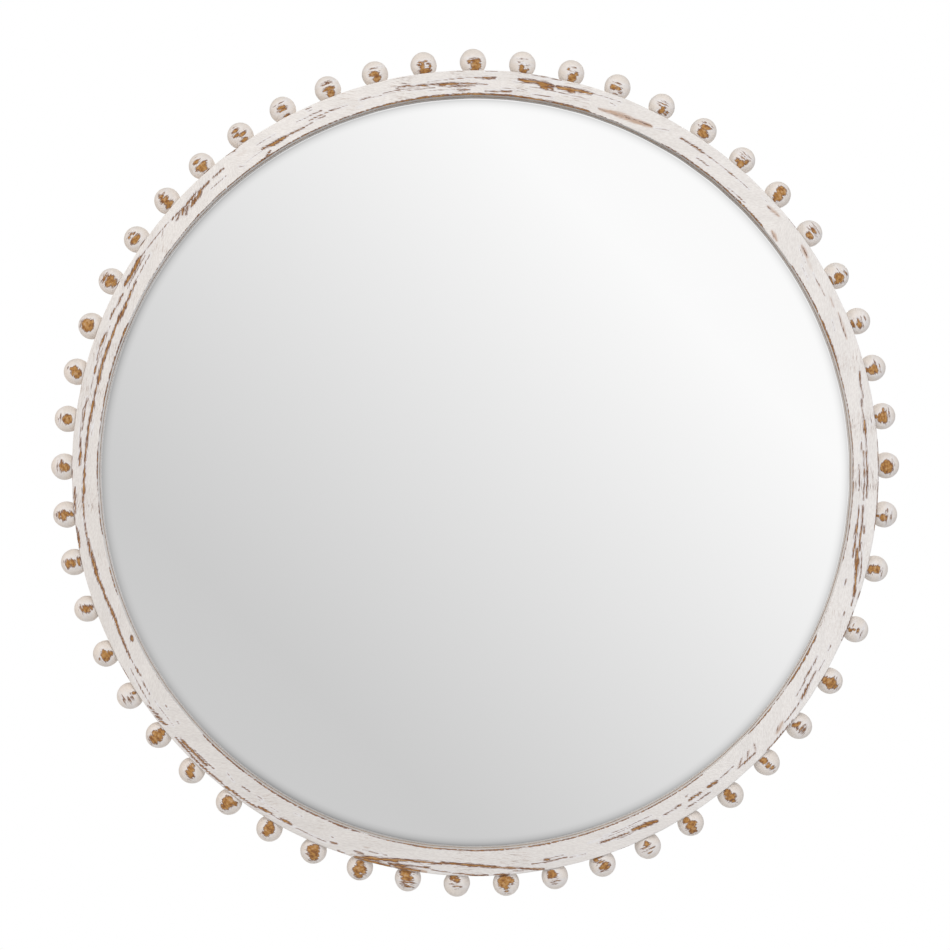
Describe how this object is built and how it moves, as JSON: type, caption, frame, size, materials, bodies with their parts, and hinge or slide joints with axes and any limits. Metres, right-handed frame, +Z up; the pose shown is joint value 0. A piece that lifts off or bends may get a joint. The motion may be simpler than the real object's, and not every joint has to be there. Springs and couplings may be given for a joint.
{
  "type": "beaded mirror",
  "caption": "Round wall mirror in a narrow ring of worn white painted wood edged with turned beads; flat glass, boarded back, turn buttons and D-ring hangers.",
  "frame": {"origin": "centre of the round mirror, on the wall plane that the four bumper pads touch", "axes": "+Z up, +X to the right as seen from the front, +Y into the wall; the mirror faces -Y"},
  "size_m": [0.8125, 0.0297, 0.8122],
  "materials": {
    "ring_paint": "matte",
    "bead_paint": "matte",
    "raw_wood": "matte",
    "silvered_glass": "polished",
    "card": "matte",
    "fibreboard": "matte",
    "plated_steel": "satin",
    "pad_rubber": "matte"
  },
  "bodies": {
    "root": {"frame_arc_right": "ring_paint", "frame_arc_bottom": "ring_paint", "frame_arc_left": "ring_paint", "frame_arc_top": "ring_paint", "joint_dowels": "raw_wood", "bead_dowels": "raw_wood", "mirror_glass": "silvered_glass", "cushion_sheet": "card", "backing_board": "fibreboard", "bead_pair_01": "bead_paint", "bead_pair_02": "bead_paint", "bead_pair_03": "bead_paint", "bead_pair_04": "bead_paint", "bead_pair_05": "bead_paint", "bead_pair_06": "bead_paint", "bead_pair_07": "bead_paint", "bead_pair_08": "bead_paint", "bead_pair_09": "bead_paint", "bead_pair_10": "bead_paint", "bead_pair_11": "bead_paint", "bead_pair_12": "bead_paint", "bead_pair_13": "bead_paint", "bead_pair_14": "bead_paint", "bead_pair_15": "bead_paint", "bead_pair_16": "bead_paint", "bead_pair_17": "bead_paint", "bead_pair_18": "bead_paint", "bead_pair_19": "bead_paint", "bead_pair_20": "bead_paint", "bead_pair_21": "bead_paint", "bead_pair_22": "bead_paint", "bead_pair_23": "bead_paint", "bead_pair_24": "bead_paint", "bead_pair_25": "bead_paint", "bead_pair_26": "bead_paint", "turn_button_screws": "plated_steel", "hanger_strap_right": "plated_steel", "hanger_strap_left": "plated_steel", "hanger_screws": "plated_steel", "bumper_pad_1": "pad_rubber", "bumper_pad_2": "pad_rubber", "bumper_pad_3": "pad_rubber", "bumper_pad_4": "pad_rubber"},
    "turn_button_1": {"turn_button_1": "plated_steel"},
    "turn_button_2": {"turn_button_2": "plated_steel"},
    "turn_button_3": {"turn_button_3": "plated_steel"},
    "turn_button_4": {"turn_button_4": "plated_steel"},
    "turn_button_5": {"turn_button_5": "plated_steel"},
    "turn_button_6": {"turn_button_6": "plated_steel"},
    "turn_button_7": {"turn_button_7": "plated_steel"},
    "turn_button_8": {"turn_button_8": "plated_steel"},
    "hanger_ring_right": {"hanger_ring_right": "plated_steel"},
    "hanger_ring_left": {"hanger_ring_left": "plated_steel"}
  },
  "joints": [
    {"name": "turn_button_1_swivel", "type": "hinge", "parent": "root", "child": "turn_button_1", "pos_m": [0.15071, -0.006, 0.34459], "axis": [0, 1, 0], "continuous": true},
    {"name": "turn_button_2_swivel", "type": "hinge", "parent": "root", "child": "turn_button_2", "pos_m": [0.35719, -0.006, 0.11776], "axis": [0, 1, 0], "continuous": true},
    {"name": "turn_button_3_swivel", "type": "hinge", "parent": "root", "child": "turn_button_3", "pos_m": [0.33688, -0.006, -0.16723], "axis": [0, 1, 0], "continuous": true},
    {"name": "turn_button_4_swivel", "type": "hinge", "parent": "root", "child": "turn_button_4", "pos_m": [0.13752, -0.006, -0.35006], "axis": [0, 1, 0], "continuous": true},
    {"name": "turn_button_5_swivel", "type": "hinge", "parent": "root", "child": "turn_button_5", "pos_m": [-0.16849, -0.006, -0.33625], "axis": [0, 1, 0], "continuous": true},
    {"name": "turn_button_6_swivel", "type": "hinge", "parent": "root", "child": "turn_button_6", "pos_m": [-0.34698, -0.006, -0.14511], "axis": [0, 1, 0], "continuous": true},
    {"name": "turn_button_7_swivel", "type": "hinge", "parent": "root", "child": "turn_button_7", "pos_m": [-0.34259, -0.006, 0.15519], "axis": [0, 1, 0], "continuous": true},
    {"name": "turn_button_8_swivel", "type": "hinge", "parent": "root", "child": "turn_button_8", "pos_m": [-0.11356, -0.006, 0.35855], "axis": [0, 1, 0], "continuous": true},
    {"name": "hanger_ring_right_fold", "type": "hinge", "parent": "root", "child": "hanger_ring_right", "pos_m": [0.31117, -0.00354, 0.20981], "axis": [-0.8508, 0, -0.5255], "range_deg": [0, 173]},
    {"name": "hanger_ring_left_fold", "type": "hinge", "parent": "root", "child": "hanger_ring_left", "pos_m": [-0.31117, -0.00354, 0.20981], "axis": [-0.8508, 0, 0.5255], "range_deg": [0, 173]}
  ]
}
